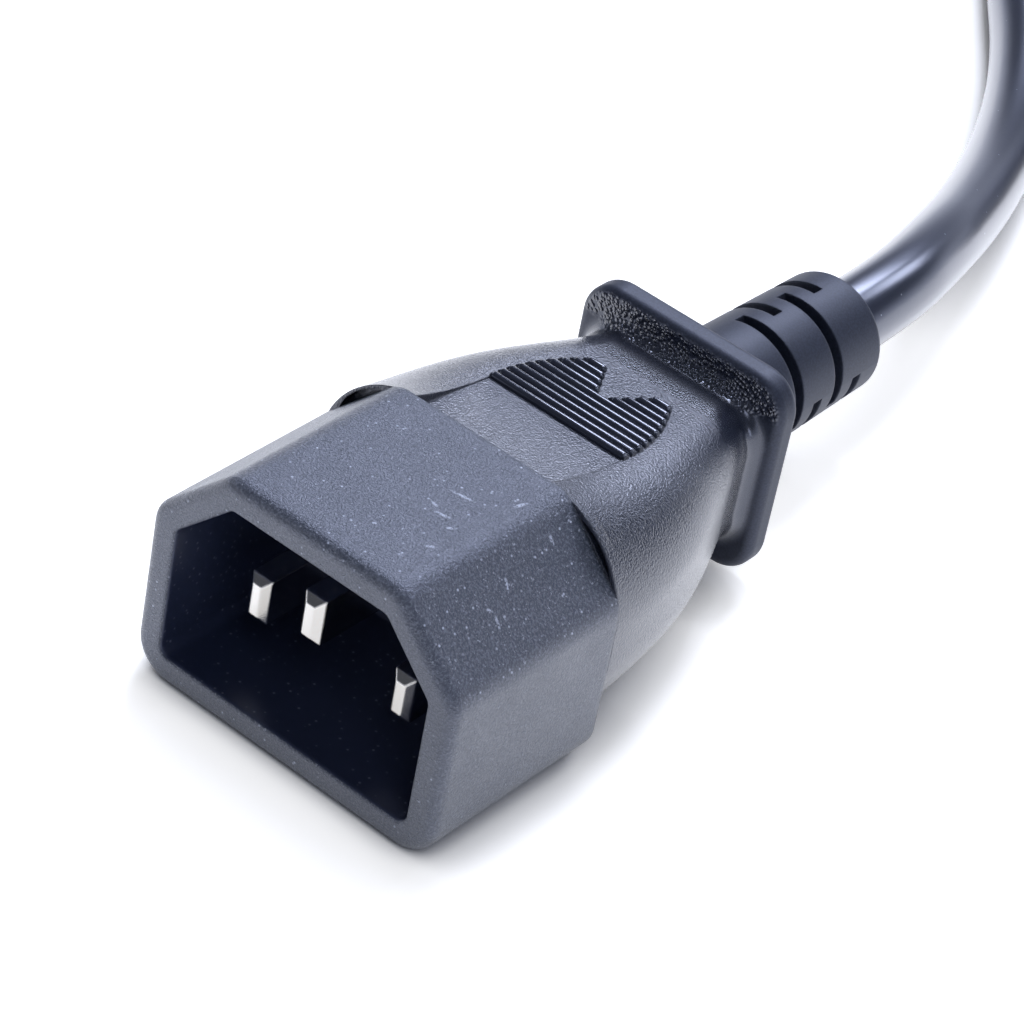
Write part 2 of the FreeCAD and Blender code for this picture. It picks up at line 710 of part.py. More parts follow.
def wire_ends(end, at, axis, crimp_start, exit_depth):
    """The cord's end inside a grip: bared strands in the crimps, three cores and the end of the jacket."""
    pieces = []
    core_start = f"({crimp_start} + size.crimp_length)"
    jacket_start = f"({core_start} + size.core_length)"
    lay_angles = {"line": 210, "neutral": 330, "earth": 90}
    origin = Vector(number_of(at[0]), number_of(at[1]), number_of(axis))
    for pole, (side, earth) in POLES.items():
        pieces.append(add_rod(f"{end}_{pole}_strands", "size.strand_diameter", "size.crimp_length",
                              f"{at[0]} + {pole_x(side)}", f"{at[1]} + {crimp_start}",
                              f"{axis} + {pole_rise(earth)}"))
        angle = math.radians(lay_angles[pole])
        lay = value("core_lay")
        first = Vector(number_of(pole_x(side)), number_of(core_start), number_of(pole_rise(earth)))
        last = Vector(lay * math.cos(angle), number_of(jacket_start), lay * math.sin(angle))
        third = Vector(0, value("core_length") / 3, 0)
        route = [origin + point for point in (first, first + third, last - third, last)]
        pieces.append(add_tube(f"{end}_{pole}_core", route, value("core_diameter")))
    pieces.append(add_rod(f"{end}_jacket", "size.cord_diameter", f"({exit_depth} - {jacket_start})",
                          at[0], f"{at[1]} + {jacket_start}", axis))
    return pieces


def cut_away(label, outside, inner):
    """Cuts every inner piece out of a moulding, so that they meet face to face."""
    result = outside
    for index, piece in enumerate(inner):
        cut = doc.addObject("Part::Cut", f"{label}_cut_{index}")
        cut.Base = result
        cut.Tool = piece
        doc.recompute()
        result = cut
    result.Label = label
    return result


def plug_overmould(inner):
    """The plug's soft overmould: grip and ribs in one moulding, hollow where the inner pieces sit."""
    whole = doc.addObject("Part::Fuse", "plug_moulding")
    whole.Base = plug_grip()
    whole.Tool = plug_ribs()
    doc.recompute()
    return cut_away("plug_overmould", whole, inner)


def socket_insert():
    """The socket's hard nose: chamfered block with three slots and a chamber behind each for its contact."""
    body = new_body("socket_insert", SOCKET_AT)
    outline = upright_sketch(body, "nose_outline", "0", SOCKET_AXIS)
    draw_chamfered(outline, "size.nose_width", "size.nose_height", "size.nose_chamfer")
    add_pad(body, "nose", outline, "size.nose_length")
    round_edges(body, "nose_corners", "size.nose_round", lies_along)
    block = upright_sketch(body, "anchor", "size.nose_length", SOCKET_AXIS)
    draw_rectangle(block, "size.anchor_width", "size.anchor_height")
    add_pad(body, "anchor_block", block, "size.anchor_length")
    slots = upright_sketch(body, "slots", "0", SOCKET_AXIS)
    chambers = upright_sketch(body, "chambers", "size.nose_wall", SOCKET_AXIS)
    necks = upright_sketch(body, "necks", "size.nose_wall", SOCKET_AXIS)
    for side, earth in POLES.values():
        place = (pole_x(side), pole_rise(earth))
        draw_rectangle(slots, "(size.pin_width + 2 * size.slot_clearance)",
                       "(size.pin_height + 2 * size.slot_clearance)", *place)
        draw_rectangle(chambers, CONTACT_WIDTH, CONTACT_HEIGHT, *place)
        draw_circle(necks, "size.crimp_diameter", *place)
    add_pocket(body, "slot_cuts", slots, "size.nose_wall")
    add_pocket(body, "chamber_cuts", chambers, "size.contact_length")
    add_pocket(body, "neck_cuts", necks, "(size.nose_length + size.anchor_length)")
    return body


def socket_contact(pole):
    """A sleeve folded from sheet that grips a pin, with a rod neck and a crimp behind it."""
    side, earth = POLES[pole]
    place = (pole_x(side), pole_rise(earth))
    body = new_body(f"socket_{pole}_contact", SOCKET_AT)
    outer = upright_sketch(body, "sleeve", "size.nose_wall", SOCKET_AXIS)
    draw_rectangle(outer, CONTACT_WIDTH, CONTACT_HEIGHT, *place)
    add_pad(body, "sleeve_block", outer, "size.contact_length")
    inner = upright_sketch(body, "opening", "size.nose_wall", SOCKET_AXIS)
    draw_rectangle(inner, f"({CONTACT_WIDTH} - 2 * size.contact_sheet)",
                   f"({CONTACT_HEIGHT} - 2 * size.contact_sheet)", *place)
    add_pocket(body, "sleeve_opening", inner, "(size.contact_length - size.contact_sheet)")
    seam = upright_sketch(body, "seam", "size.nose_wall", SOCKET_AXIS)
    draw_rectangle(seam, "size.contact_seam", "(2 * size.contact_sheet)", place[0],
                   f"({place[1]} - {CONTACT_HEIGHT} / 2)")
    add_pocket(body, "sleeve_seam", seam, "size.contact_length")
    neck_start = "(size.nose_wall + size.contact_length)"
    rear = "(size.nose_length + size.anchor_length)"
    neck = upright_sketch(body, "neck", neck_start, SOCKET_AXIS)
    draw_circle(neck, "size.crimp_diameter", *place)
    add_pad(body, "neck_rod", neck, f"({rear} - {neck_start})")
    crimp_barrel(body, rear, SOCKET_AXIS, side, earth)
    return body


def socket_overmould(inner):
    """The socket's soft overmould: a tapering grip with the same strain relief as the plug."""
    body = doc.addObject("PartDesign::Body", "socket_grip")
    for axis, expression in zip("xy", SOCKET_AT):
        body.setExpression(f"Placement.Base.{axis}", expression)
    collar = upright_sketch(body, "collar", "size.nose_length", SOCKET_AXIS)
    draw_rounded(collar, "size.socket_shoulder_width", "size.socket_shoulder_height",
                 "size.socket_shoulder_round")
    add_pad(body, "collar_block", collar, "size.socket_collar")
    ends = [value("nose_length"), value("nose_length") + value("socket_collar")]
    round_edges(body, "collar_edges", "size.socket_edge",
                lambda edge: any(at_depth(edge, depth) for depth in ends))
    start = "(size.nose_length + size.socket_collar)"
    sections = [(start, SOCKET_AXIS, "size.socket_grip_width", "size.socket_grip_height",
                 "size.socket_grip_round"),
                (f"({start} + size.socket_middle_setback)", SOCKET_AXIS, "size.socket_middle_width",
                 "size.socket_middle_height", "size.socket_middle_round"),
                ("(size.nose_length + size.socket_grip_length)", SOCKET_AXIS,
                 "size.socket_root_width", "size.socket_root_height", "size.socket_root_round")]
    add_loft(body, "socket_taper", sections)
    add_strain_relief(body, "(size.nose_length + size.socket_grip_length)", SOCKET_AXIS)
    return cut_away("socket_overmould", body, inner)


# Lead route between its straight ends: across, back from the plug's strain relief, clear height below
LEAD_ROUTE = [
    (-2.6, 27.6, 3.1),
    (-9.0, 42.5, 0.0),
    (-18.0, 57.3, 0.0),
    (-29.5, 72.5, 0.0),
    (-36.4, 84.0, 0.3),
]
# Tail route between its straight ends: across from the hank's middle, forward of its far fold, clear height
TAIL_ROUTE = [
    (16.0, 24.0, 0.6),
    (3.4, 42.4, 5.2),
]


def add_cord(label, route):
    """Adds a stretch of cord and reports how it bends and how long it is."""
    radii = []
    tube = add_tube(label, route, value("cord_diameter"), radii)
    print(label, "radii", [round(radius, 1) for radius in radii], "length", round(rounded_wire(route).Length))
    return tube


def cord_lead():
    """The stretch of cord from the plug to the start of the hank."""
    rest = value("cord_diameter") / 2
    leave = Vector(0, number_of(EXIT_Y), number_of(PLUG_AXIS))
    outer_lane = value("hank_fold") + value("cord_diameter")
    arrive = Vector(value("hank_centre") - outer_lane, number_of(HANK_START), rest + value("tie_thickness"))
    route = [leave, leave + Vector(0, value("lead_straight"), 0)]
    for across, back, lift in LEAD_ROUTE:
        route.append(Vector(across, leave.y + back, rest + lift))
    route += [arrive - Vector(0, value("lead_entry"), 0), arrive]
    return add_cord("cord_lead", route)


def cord_tail():
    """The stretch of cord from the end of the hank to the socket."""
    rest = value("cord_diameter") / 2
    middle = value("hank_centre")
    leave = Vector(middle + value("hank_fold"), number_of(HANK_START) + value("hank_run"),
                   rest + value("tie_thickness"))
    arrive = Vector(middle, number_of(SOCKET_FRONT) + number_of(SOCKET_LENGTH), number_of(SOCKET_AXIS))
    route = [leave, leave - Vector(0, value("tail_leave"), 0)]
    for across, forward, lift in TAIL_ROUTE:
        route.append(Vector(middle + across, leave.y - forward, rest + lift))
    route += [arrive + Vector(0, value("tail_straight"), 0), arrive]
    return add_cord("cord_tail", route)


def cord_hank():
    """The put-away cord as one solid: two lanes and two layers of turns round a long loop."""
    body = doc.addObject("PartDesign::Body", "cord_hank")
    body.setExpression("Placement.Base.x", "size.hank_centre")
    body.setExpression("Placement.Base.y", HANK_START)
    body.setExpression("Placement.Base.z", "size.tie_thickness")
    lane = "size.cord_diameter"
    outer = f"(size.hank_fold + 1.5 * {lane})"
    inner = f"(size.hank_fold - 0.5 * {lane})"
    for name, radius in (("outside", outer), ("inside", inner)):
        sketch = body.newObject("Sketcher::SketchObject", name)
        sketch.AttachmentSupport = [(origin_plane(body, "XY_Plane"), "")]
        sketch.MapMode = "FlatFace"
        draw_loop(sketch, radius)
        kind = "PartDesign::Pad" if name == "outside" else "PartDesign::Pocket"
        feature = body.newObject(kind, f"{name}_loop")
        feature.Profile = sketch
        feature.setExpression("Length", f"2 * {lane}")
        feature.Reversed = name == "inside"
        doc.recompute()
    top = 2 * value("cord_diameter")
    round_edges(body, "loop_edges", "size.hank_edge",
                lambda edge: edge.BoundBox.ZLength < 1e-4 and edge.BoundBox.ZMax > top - 1e-3)
    room = f"(size.hank_fold + 0.5 * {lane} + size.cord_clearance)"
    wall = f"(size.hank_fold + 0.5 * {lane} - size.entry_clearance)"
    for name, left, right, near, far in (
        ("entry", f"-2 * {outer}", f"-{wall}", f"-2 * {outer}", "0"),
        ("leave", "0", room, "0", "size.hank_run"),
    ):
        sketch = body.newObject("Sketcher::SketchObject", f"{name}_notch")
        sketch.AttachmentSupport = [(origin_plane(body, "XY_Plane"), "")]
        sketch.MapMode = "FlatFace"
        draw_polygon(sketch, [(left, near), (right, near), (right, far), (left, far)])
        notch = body.newObject("PartDesign::Pocket", f"{name}_cut")
        notch.Profile = sketch
        notch.Reversed = True
        notch.setExpression("Length", f"{lane} + size.cord_clearance")
        doc.recompute()
    return body


def draw_loop(sketch, radius):
    """Draws a long loop: two straight runs and a half circle at each end."""
    bend = number_of(radius)
    run = value("hank_run")
    near = Part.ArcOfCircle(Part.Circle(Vector(), Vector(0, 0, 1), bend), math.pi, 2 * math.pi)
    far = Part.ArcOfCircle(Part.Circle(Vector(0, run, 0), Vector(0, 0, 1), bend), 0, math.pi)
    sketch.addGeometry(near, False)
    sketch.addGeometry(Part.LineSegment(Vector(bend, 0, 0), Vector(bend, run, 0)), False)
    sketch.addGeometry(far, False)
    sketch.addGeometry(Part.LineSegment(Vector(-bend, run, 0), Vector(-bend, 0, 0)), False)
    for index in range(4):
        sketch.addConstraint(Sketcher.Constraint("Tangent", index, 2, (index + 1) % 4, 1))
    hold_point(sketch, 0, 3, "0", "0")
    hold_point(sketch, 2, 3, "0", "size.hank_run")
    bind(sketch, "Radius", (0,), radius)


def cord_tie():
    """A band round one side of the hank."""
    body = doc.addObject("PartDesign::Body", "tie_band")
    side = "2 * size.cord_diameter"
    body.setExpression("Placement.Base.x", "size.hank_centre - size.hank_fold - size.cord_diameter / 2")
    body.setExpression("Placement.Base.y", f"{HANK_START} + (size.hank_run - size.tie_width) / 2")
    band = upright_sketch(body, "band", "0", "size.tie_thickness + size.cord_diameter")
    draw_rectangle(band, f"({side} + 2 * size.tie_thickness)", f"({side} + 2 * size.tie_thickness)")
    add_pad(body, "band_block", band, "size.tie_width")
    return body


def check(nodes):
    """Stops if any object of the document failed or any sub-part has no sound shape."""
    for item in doc.Objects:
        if "Invalid" in item.State or "Error" in item.State:
            raise RuntimeError(f"{item.Name} failed: {item.State}")
    for node in nodes:
        if node.Shape.isNull() or not node.Shape.isValid() or len(node.Shape.Solids) != 1:
            raise RuntimeError(f"{node.Label} has no sound shape")


plug_pieces = [plug_shroud()] + [plug_pin(pole) for pole in POLES]
plug_wires = wire_ends("plug", PLUG_AT, PLUG_AXIS, "(size.shroud_length + size.anchor_length)", PLUG_LENGTH)
socket_pieces = [socket_insert()] + [socket_contact(pole) for pole in POLES]
socket_wires = wire_ends("socket", SOCKET_AT, SOCKET_AXIS, "(size.nose_length + size.anchor_length)",
                         SOCKET_LENGTH)
doc.recompute()
hank = cord_hank()
tie = cut_away("cord_tie", cord_tie(), [hank])
nodes = plug_pieces + plug_wires + socket_pieces + socket_wires + [hank, tie, cord_lead(), cord_tail()]
nodes.append(plug_overmould(plug_pieces + plug_wires))
nodes.append(socket_overmould(socket_pieces + socket_wires))
doc.recompute()
check(nodes)
os.makedirs("parts", exist_ok=True)
for node in nodes:
    node.Shape.exportStep(f"parts/{node.Label}.step")
print(len(nodes), "sub-parts")
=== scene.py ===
import math

import bmesh
import bpy
from bpy.props import FloatProperty, FloatVectorProperty, IntProperty, PointerProperty
from mathutils import Matrix, Vector


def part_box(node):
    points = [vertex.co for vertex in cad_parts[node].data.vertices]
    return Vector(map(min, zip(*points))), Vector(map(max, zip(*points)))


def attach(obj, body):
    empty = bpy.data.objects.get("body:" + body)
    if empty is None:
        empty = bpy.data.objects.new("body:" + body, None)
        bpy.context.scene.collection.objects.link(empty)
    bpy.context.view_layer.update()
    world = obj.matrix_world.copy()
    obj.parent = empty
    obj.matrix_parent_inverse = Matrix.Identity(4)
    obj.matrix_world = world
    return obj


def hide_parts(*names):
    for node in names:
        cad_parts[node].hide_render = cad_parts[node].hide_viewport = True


bl_info = {
    "name": "Extension Lead",
    "version": (1, 0, 0),
    "blender": (4, 5, 0),
    "location": "View3D > Sidebar > Lead",
    "description": "Dresses the packed extension lead with its cord, ribs, finishes and studio",
    "category": "Object",
}

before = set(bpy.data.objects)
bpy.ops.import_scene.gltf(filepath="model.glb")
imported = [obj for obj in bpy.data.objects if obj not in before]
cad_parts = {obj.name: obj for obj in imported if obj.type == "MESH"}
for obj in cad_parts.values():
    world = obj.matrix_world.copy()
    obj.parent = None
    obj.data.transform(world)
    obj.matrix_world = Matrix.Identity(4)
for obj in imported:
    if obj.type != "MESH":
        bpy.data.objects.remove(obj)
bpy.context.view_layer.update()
MM = 0.001


def linear(code):
    """Turns an sRGB hex colour into linear red, green, blue and alpha."""
    channels = [int(code[place:place + 2], 16) / 255 for place in (1, 3, 5)]
    return tuple(c / 12.92 if c <= 0.04045 else ((c + 0.055) / 1.055) ** 2.4 for c in channels) + (1.0,)


def per_metre(width_mm):
    """Scale of a texture whose features are so many millimetres wide."""
    return 1 / (width_mm * MM)


def colour(name, description, code):
    """A colour setting whose default is an sRGB hex value."""
    return FloatVectorProperty(name=name, description=description, subtype="COLOR", size=4, min=0, max=1,
                               default=linear(code))


def length(name, description, metres):
    """A length setting in metres."""
    return FloatProperty(name=name, description=description, default=metres, unit="LENGTH", precision=5)


def angle(name, description, radians):
    """An angle setting in radians."""
    return FloatProperty(name=name, description=description, default=radians, subtype="ANGLE")


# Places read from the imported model
JACKET_LOW, JACKET_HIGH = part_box("plug_jacket")
GRIP_LOW, GRIP_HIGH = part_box("plug_overmould")
SHROUD_LOW, SHROUD_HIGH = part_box("plug_shroud")
HANK_LOW, HANK_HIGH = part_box("cord_hank")
SOCKET_LOW, SOCKET_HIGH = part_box("socket_overmould")
CORD_DIAMETER = JACKET_HIGH.x - JACKET_LOW.x
# Distance of the flange behind the grip's front, in millimetres
FLANGE_FRONT = 24.7
# Length of a strain relief, in millimetres
RELIEF_LENGTH = 19.6

# Route of the cord from the plug to its hank, in metres
LEAD_ROUTE = [
    (0.0, 0.0326, 0.0106),
    (0.0, 0.0410, 0.0106),
    (-0.0024, 0.0515, 0.0092),
    (-0.0060, 0.0630, 0.0066),
    (-0.0103, 0.0745, 0.0044),
    (-0.0152, 0.0855, 0.0034),
    (-0.0216, 0.0965, 0.0033),
    (-0.0294, 0.1068, 0.0033),
    (-0.0366, 0.1170, 0.0035),
    (-0.0400, 0.1310, 0.0039),
    (-0.0400, 0.1454, 0.0039),
]
# Route of the cord from its hank to the socket, in metres
TAIL_ROUTE = [
    (0.0066, 0.2511, 0.0039),
    (0.0026, 0.2384, 0.0039),
    (-0.0100, 0.2200, 0.0085),
    (-0.0134, 0.2082, 0.0098),
    (-0.0134, 0.1972, 0.0098),
]

# Rub marks on the shroud: middle and reach of each pale streak, in millimetres
RUB_MARKS = [
    ((3.7, -20.7, 21.2), (1.3, 0.2, 0.0)),
    ((3.0, -23.0, 21.2), (0.5, -0.1, 0.0)),
    ((4.2, -23.5, 21.2), (0.9, 0.2, 0.0)),
    ((5.6, -24.2, 21.2), (0.4, 0.4, 0.0)),
    ((7.0, -18.2, 21.2), (0.2, 0.8, 0.0)),
    ((6.1, -26.9, 21.2), (0.4, 0.3, 0.0)),
    ((1.8, -28.1, 21.2), (0.2, 0.1, 0.0)),
    ((5.3, -29.3, 21.2), (0.2, 0.1, 0.0)),
    ((11.2, -25.8, 18.1), (0.2, 0.3, -0.2)),
    ((12.0, -25.6, 17.4), (0.5, -0.1, -0.5)),
    ((10.6, -23.3, 18.8), (0.5, -0.2, -0.5)),
    ((9.8, -17.6, 19.6), (0.5, -0.1, -0.5)),
]
# Reach of a rub mark across its length, in millimetres
RUB_WIDTH = 0.20

# Colour of the studio's light
COOL_WHITE = "#e4ebff"
# Soft lights of the studio: place and side in metres, and the brightness of the face
SOFTBOXES = {
    "top_softbox": ((-0.10, 0.16, 0.86), 0.20, 15.0),
    "back_softbox": ((-0.26, 0.58, 0.66), 0.40, 10.5),
    "shoulder_softbox": ((0.05, 0.80, 0.50), 0.20, 7.0),
    "front_softbox": ((0.44, -0.40, 0.68), 0.28, 3.2),
    "right_softbox": ((0.80, 0.06, 0.22), 0.20, 3.0),
}

# Numbers of a Mix node's two colour inputs and of its colour output
MIX_A, MIX_B, MIXED = 6, 7, 2


class LeadCordSettings(bpy.types.PropertyGroup):
    """Sizes of the cord and of the hank that its spare length is folded into."""

    diameter: length("Diameter", "Outside diameter of the jacket", CORD_DIAMETER)
    run: length("Cord Length", "Length of the cord between the two strain reliefs", 1.52)
    fold_step: angle("Fold Step", "Turn between the points of a fold", math.radians(30))
    sides: IntProperty(name="Roundness", description="Bevel resolution of the jacket", default=10, min=3)


class LeadRibSettings(bpy.types.PropertyGroup):
    """Sizes of the ribbed field on top of the plug's grip."""

    count: IntProperty(name="Ribs", description="Number of ribs from front to back", default=10, min=1)
    pitch: length("Pitch", "Distance from one rib to the next", 0.978 * MM)
    width: length("Width", "Width of one rib at its foot", 0.72 * MM)
    height: length("Height", "Height of one rib above the deck", 0.44 * MM)
    slope: angle("Slope", "Fall of the deck towards the cord", math.atan(0.125))
    depth: length("Depth", "Depth of the deck's plane below the shroud where the two meet", 1.2 * MM)
    start: length("Start", "Distance of the first rib behind the shroud", 9.44 * MM)
    front: length("Front Width", "Half the width of the field at the first rib", 6.61 * MM)
    bend: length("Bend", "Radius of the field's bowed sides", 16.9 * MM)
    notch_start: length("Notch Start", "Distance of the bare notch behind the shroud", 14.82 * MM)
    notch_front: length("Notch Front", "Half the width of the notch at its front", 0.35 * MM)
    notch_flare: angle("Notch Flare", "Spread of the notch on each side", math.atan(0.546))


class LeadFinishSettings(bpy.types.PropertyGroup):
    """Colours of the lead's plastics and metals."""

    shroud: colour("Shroud", "Matt polyamide of the inserts", "#30363f")
    # Colour of pale specks, dust and rub marks, and also of a painted sheen and painted glints on the inserts
    pale_speck_and_sheen: colour("Speck", "Pale specks and rub marks on the inserts", "#c4cad8")
    # The mouth's own colour is darker than the outside's, partly as painted shade in the recess
    mouth_colour_and_shade: colour("Mouth", "Polyamide inside the plug's mouth", "#283049")
    grip: colour("Grip", "Soft PVC of the overmoulds", "#1d212c")
    grip_high: colour("Grip High", "Soft PVC on top of its grain", "#2b303e")
    jacket: colour("Jacket", "PVC of the cord's jacket", "#1e222d")
    nickel: colour("Nickel", "Plated pins", "#e6e3de")
    brass: colour("Brass", "Sheet of the socket's contacts", "#c9a25a")
    copper: colour("Copper", "Bared strands", "#c77b4e")
    line_core: colour("Line", "Insulation of the line core", "#5a3320")
    neutral_core: colour("Neutral", "Insulation of the neutral core", "#2a5fa8")
    earth_core: colour("Earth", "Insulation of the earth core", "#3f8a35")
    earth_stripe: colour("Earth Stripe", "Stripe along the earth core", "#e0c63a")
    strap: colour("Strap", "Raised threads of the woven tie", "#17181c")
    strap_low: colour("Strap Low", "Gaps between the threads of the tie", "#0c0d10")


class LeadStageSettings(bpy.types.PropertyGroup):
    """Camera and floor."""

    azimuth: angle("Azimuth", "Turn of the camera round the plug", math.radians(33.338))
    elevation: angle("Elevation", "Height of the camera above the horizon", math.radians(36.725))
    roll: angle("Roll", "Tilt of the camera about its own axis", math.radians(11.404))
    distance: length("Distance", "Distance of the camera from its target", 295.6 * MM)
    target: FloatVectorProperty(name="Target", description="Point at the middle of the picture",
                                subtype="TRANSLATION", unit="LENGTH",
                                default=(2.746 * MM, -12.6 * MM, 15.253 * MM))
    lens: FloatProperty(name="Lens", description="Focal length in millimetres", default=141.64)
    floor_size: length("Floor", "Side of the square floor", 4.0)
    floor: colour("Floor Colour", "Pale floor", "#f9f7f3")


def add(tree, kind, inputs=None, **settings):
    """Adds a node with its settings; an input is a value or the socket that is linked into it."""
    node = tree.nodes.new(kind)
    for name, value in settings.items():
        setattr(node, name, value)
    for name, value in (inputs or {}).items():
        if isinstance(value, bpy.types.NodeSocket):
            tree.links.new(value, node.inputs[name])
        else:
            node.inputs[name].default_value = value
    return node


def empty_tree(owner):
    """Gives a material or a world an empty node tree."""
    owner.use_nodes = True
    owner.node_tree.nodes.clear()
    return owner.node_tree


def start_material(name):
    """Starts a material; returns it, its node tree and its object coordinates."""
    material = bpy.data.materials.new(name)
    tree = empty_tree(material)
    return material, tree, add(tree, "ShaderNodeTexCoord").outputs["Object"]


def close_material(material, **inputs):
    """Ends a material with its one shader; an input is a value or a socket, as for any node."""
    tree = material.node_tree
    named = {key.replace("_", " "): value for key, value in inputs.items()}
    shader = add(tree, "ShaderNodeBsdfPrincipled", named)
    add(tree, "ShaderNodeOutputMaterial", {"Surface": shader.outputs[0]})
    return material


def dress(material, *nodes):
    """Gives CAD nodes one material."""
    for node in nodes:
        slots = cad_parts[node].data.materials
        slots.clear()
        slots.append(material)


def join_masks(tree, masks, operation):
    """Joins masks one after another: MULTIPLY keeps what they all show, MAXIMUM what any of them shows."""
    total = masks[0]
    for mask in masks[1:]:
        total = add(tree, "ShaderNodeMath", {0: total, 1: mask}, operation=operation).outputs[0]
    return total


def rub_streaks(tree, place):
    """A mask of the soft streaks that wear has left on the shroud."""
    streaks = []
    for middle, reach in RUB_MARKS:
        along = Vector(reach)
        local = add(tree, "ShaderNodeMapping", {
            "Vector": place,
            "Location": Vector(middle) * MM,
            "Rotation": along.to_track_quat("X", "Z").to_euler(),
            "Scale": (along.length * MM, RUB_WIDTH * MM, RUB_WIDTH * MM),
        }, vector_type="TEXTURE")
        ball = add(tree, "ShaderNodeTexGradient", {"Vector": local.outputs[0]}, gradient_type="SPHERICAL")
        streaks.append(ball.outputs[1])
    return join_masks(tree, streaks, "MAXIMUM")


def dust_motes(tree, place):
    """A mask of small round motes, each in a cell of its own and strong in a few of the cells."""
    cells = add(tree, "ShaderNodeTexVoronoi", {"Vector": place, "Scale": per_metre(0.60)}).outputs
    chance = add(tree, "ShaderNodeSeparateColor", {"Color": cells["Color"]}).outputs[0]
    masks = []
    for value, start, end in ((cells["Distance"], 0.24, 0.08), (chance, 0.4, 0.9)):
        masks.append(add(tree, "ShaderNodeMapRange", {
            "Value": value, "From Min": start, "From Max": end,
        }, interpolation_type="SMOOTHSTEP").outputs[0])
    return join_masks(tree, masks, "MULTIPLY")


def mouth_mask(tree, place):
    """One inside the plug's mouth and zero on the rest of the shroud."""
    # Just outside the mouth's walls, in millimetres: half its width, its floor, its roof, and half the
    # width added to the height along its slanting corners; the mask starts a little way behind the rim
    half_width, low, high, corner, rim = 12.3, 2.3, 18.9, 26.4, 0.1
    axes = add(tree, "ShaderNodeSeparateXYZ", {"Vector": place}).outputs
    across = add(tree, "ShaderNodeMath", {0: axes["X"]}, operation="ABSOLUTE").outputs[0]
    both = add(tree, "ShaderNodeMath", {0: across, 1: axes["Z"]}, operation="ADD").outputs[0]
    limits = [
        (across, half_width * MM, "LESS_THAN"),
        (axes["Z"], low * MM, "GREATER_THAN"),
        (axes["Z"], high * MM, "LESS_THAN"),
        (both, corner * MM, "LESS_THAN"),
        (axes["Y"], SHROUD_LOW.y + rim * MM, "GREATER_THAN"),
        (axes["Y"], SHROUD_HIGH.y, "LESS_THAN"),
    ]
    tests = []
    for value, limit, test in limits:
        tests.append(add(tree, "ShaderNodeMath", {0: value, 1: limit}, operation=test).outputs[0])
    return join_masks(tree, tests, "MULTIPLY")


def spark_eroded_polyamide(finish):
    """Matt moulded polyamide: the eroded mould leaves a fine grain, filler and dust leave pale specks. The
    pale mottle and specks are also a painted sheen and painted glints on the grain.
    """
    material, tree, place = start_material("spark_eroded_polyamide")
    mottle = add(tree, "ShaderNodeTexNoise", {
        "Vector": place, "Scale": per_metre(0.20), "Detail": 2.0, "Roughness": 0.8,
    }).outputs[0]
    dots = add(tree, "ShaderNodeTexNoise", {
        "Vector": place, "Scale": per_metre(0.28), "Detail": 2.0, "Roughness": 0.7,
    }).outputs[0]
    clouds = add(tree, "ShaderNodeTexNoise", {
        "Vector": place, "Scale": per_metre(4.0), "Detail": 3.0,
    }).outputs[0]
    # Pale mottle: partly filler in the polyamide, partly a painted sheen that lightens the whole outside
    filler_and_sheen = add(tree, "ShaderNodeMapRange", {
        "Value": mottle, "From Min": 0.46, "From Max": 0.68, "To Max": 0.24,
    }).outputs[0]
    # Pale specks: partly dust and filler, partly painted glints on the grain
    speck_and_glint = add(tree, "ShaderNodeMapRange", {
        "Value": dots, "From Min": 0.62, "From Max": 0.74, "To Max": 0.8,
    }).outputs[0]
    mote = dust_motes(tree, place)
    # The grain breaks a rub mark up, and what is left of it is made stronger
    broken = add(tree, "ShaderNodeMapRange", {"Value": mottle, "From Min": 0.38, "From Max": 0.60}).outputs[0]
    rub = join_masks(tree, [rub_streaks(tree, place), broken], "MULTIPLY")
    rub = add(tree, "ShaderNodeMath", {0: rub, 1: 2.2}, operation="MULTIPLY", use_clamp=True).outputs[0]
    pale = join_masks(tree, [filler_and_sheen, speck_and_glint, mote, rub], "MAXIMUM")
    body = add(tree, "ShaderNodeMix", {
        0: pale, MIX_A: finish.shroud, MIX_B: finish.pale_speck_and_sheen,
    }, data_type="RGBA").outputs[MIXED]
    # Inside the mouth there is less dust and no grain. The polyamide there is also given a darker colour of
    # its own, which is partly painted shade in the recess
    inside = mouth_mask(tree, place)
    dust = add(tree, "ShaderNodeMath", {0: mote, 1: 0.4}, operation="MULTIPLY").outputs[0]
    mouth = add(tree, "ShaderNodeMix", {
        0: dust, MIX_A: finish.mouth_colour_and_shade, MIX_B: finish.pale_speck_and_sheen,
    }, data_type="RGBA").outputs[MIXED]
    base = add(tree, "ShaderNodeMix", {0: inside, MIX_A: body, MIX_B: mouth}, data_type="RGBA").outputs[MIXED]
    rough = add(tree, "ShaderNodeMapRange", {
        "Value": clouds, "From Min": 0.3, "From Max": 0.7, "To Min": 0.40, "To Max": 0.52,
    }).outputs[0]
    grain = add(tree, "ShaderNodeMath", {0: mottle, 1: speck_and_glint}, operation="ADD").outputs[0]
    outside = add(tree, "ShaderNodeMath", {0: 1.0, 1: inside}, operation="SUBTRACT").outputs[0]
    edges = add(tree, "ShaderNodeBevel", {"Radius": 0.60 * MM}, samples=4).outputs[0]
    bump = add(tree, "ShaderNodeBump", {
        "Height": join_masks(tree, [grain, outside], "MULTIPLY"),
        "Strength": 0.9,
        "Distance": 0.12 * MM,
        "Normal": edges,
    }).outputs[0]
    return close_material(material, Base_Color=base, Roughness=rough, IOR=1.53, Specular_IOR_Level=1.0,
                          Specular_Tint=linear("#d9e1ff"), Coat_Weight=0.7, Coat_Roughness=0.32, Normal=bump,
                          Coat_Normal=bump)


